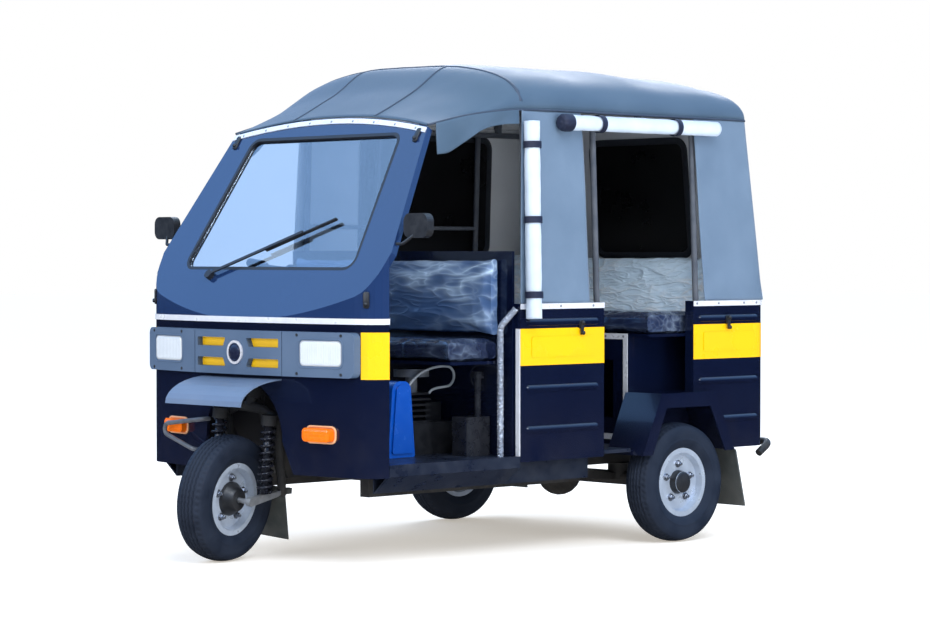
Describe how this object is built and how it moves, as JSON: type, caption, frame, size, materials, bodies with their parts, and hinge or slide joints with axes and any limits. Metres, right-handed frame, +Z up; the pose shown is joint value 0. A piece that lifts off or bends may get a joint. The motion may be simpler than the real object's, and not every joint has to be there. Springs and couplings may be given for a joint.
{
  "type": "auto rickshaw",
  "caption": "Three-wheeled passenger auto rickshaw with a navy and yellow steel tub, raked windscreen, soft blue-grey canopy with rolled curtains, a steered front wheel and driven rear wheels.",
  "frame": {"origin": "middle of the overall box on the ground, under the middle of the vehicle's length and width", "axes": "+X to the vehicle's left, -Y forwards (the front wheel's end), +Z up; metres"},
  "size_m": [1.654, 2.6862, 1.955],
  "materials": {
    "navy_paint": "gloss",
    "yellow_film": "gloss",
    "canopy_vinyl": "satin",
    "curtain_pvc": "satin",
    "strap_webbing": "matte",
    "grey_plastic": "matte",
    "bright_alloy": "satin",
    "black_steel": "satin",
    "silver_rim": "satin",
    "spring_rubber": "matte",
    "black_plastic": "satin",
    "tyre_rubber": "matte",
    "clear_glass": "gloss",
    "lamp_lens": "gloss",
    "amber_lens": "gloss",
    "red_lens": "gloss",
    "dark_pane": "satin",
    "seat_vinyl": "satin",
    "blue_enamel": "gloss",
    "filter_steel": "satin",
    "grab_chrome": "gloss"
  },
  "bodies": {
    "body": {"front_apron": "navy_paint", "front_cowl": "navy_paint", "wheel_well": "navy_paint", "floor_pan": "navy_paint", "side_panels_left": "navy_paint", "side_panel_right": "navy_paint", "tail_panel": "navy_paint", "rear_fenders": "navy_paint", "partition": "navy_paint", "seat_box": "navy_paint", "yellow_bands": "yellow_film", "grille_inserts": "yellow_film", "canopy_roof": "canopy_vinyl", "canopy_sides_left": "canopy_vinyl", "canopy_side_right": "canopy_vinyl", "canopy_back": "canopy_vinyl", "curtain_rolls": "curtain_pvc", "curtain_straps": "strap_webbing", "grille_panel": "grey_plastic", "wheel_visor": "grey_plastic", "bright_strips": "bright_alloy", "seat_trim": "bright_alloy", "grille_disc": "bright_alloy", "chassis_frame": "black_steel", "rear_axle": "black_steel", "guard_loop": "black_steel", "rear_bumper": "black_steel", "canopy_posts": "black_steel", "canopy_bows": "black_steel", "engine_block": "black_steel", "windscreen_seal": "spring_rubber", "rear_mudflaps": "spring_rubber", "mirrors": "black_plastic", "wiper": "black_plastic", "fuel_tank": "black_plastic", "windscreen_glass": "clear_glass", "headlamps": "lamp_lens", "front_indicators": "amber_lens", "tail_lamps": "red_lens", "window_panes": "dark_pane", "driver_cushion": "seat_vinyl", "driver_backrest": "seat_vinyl", "passenger_cushion": "seat_vinyl", "passenger_backrest": "seat_vinyl", "fan_cowl": "blue_enamel", "air_cleaner": "filter_steel", "grab_rail": "grab_chrome"},
    "steering": {"fork": "black_steel", "front_links": "bright_alloy", "front_springs": "spring_rubber", "handlebar": "black_steel", "front_mudflap": "spring_rubber"},
    "front_wheel": {"front_tyre": "tyre_rubber", "front_rim": "silver_rim"},
    "rear_left_wheel": {"rear_tyre_left": "tyre_rubber", "rear_rim_left": "silver_rim"},
    "rear_right_wheel": {"rear_tyre_right": "tyre_rubber", "rear_rim_right": "silver_rim"}
  },
  "joints": [
    {"name": "steering", "type": "hinge", "parent": "body", "child": "steering", "pos_m": [0, -0.9995, 0.55], "axis": [0, 0.3746, 0.9272], "range_deg": [-50, 20]},
    {"name": "front_wheel_spin", "type": "hinge", "parent": "steering", "child": "front_wheel", "pos_m": [-0.00566, -1.10019, 0.24444], "axis": [0.9659, 0.24, -0.097], "continuous": true},
    {"name": "rear_left_wheel_spin", "type": "hinge", "parent": "body", "child": "rear_left_wheel", "pos_m": [0.665, 0.7285, 0.245], "axis": [1, 0, 0], "continuous": true},
    {"name": "rear_right_wheel_spin", "type": "hinge", "parent": "body", "child": "rear_right_wheel", "pos_m": [-0.665, 0.7285, 0.245], "axis": [1, 0, 0], "continuous": true}
  ]
}
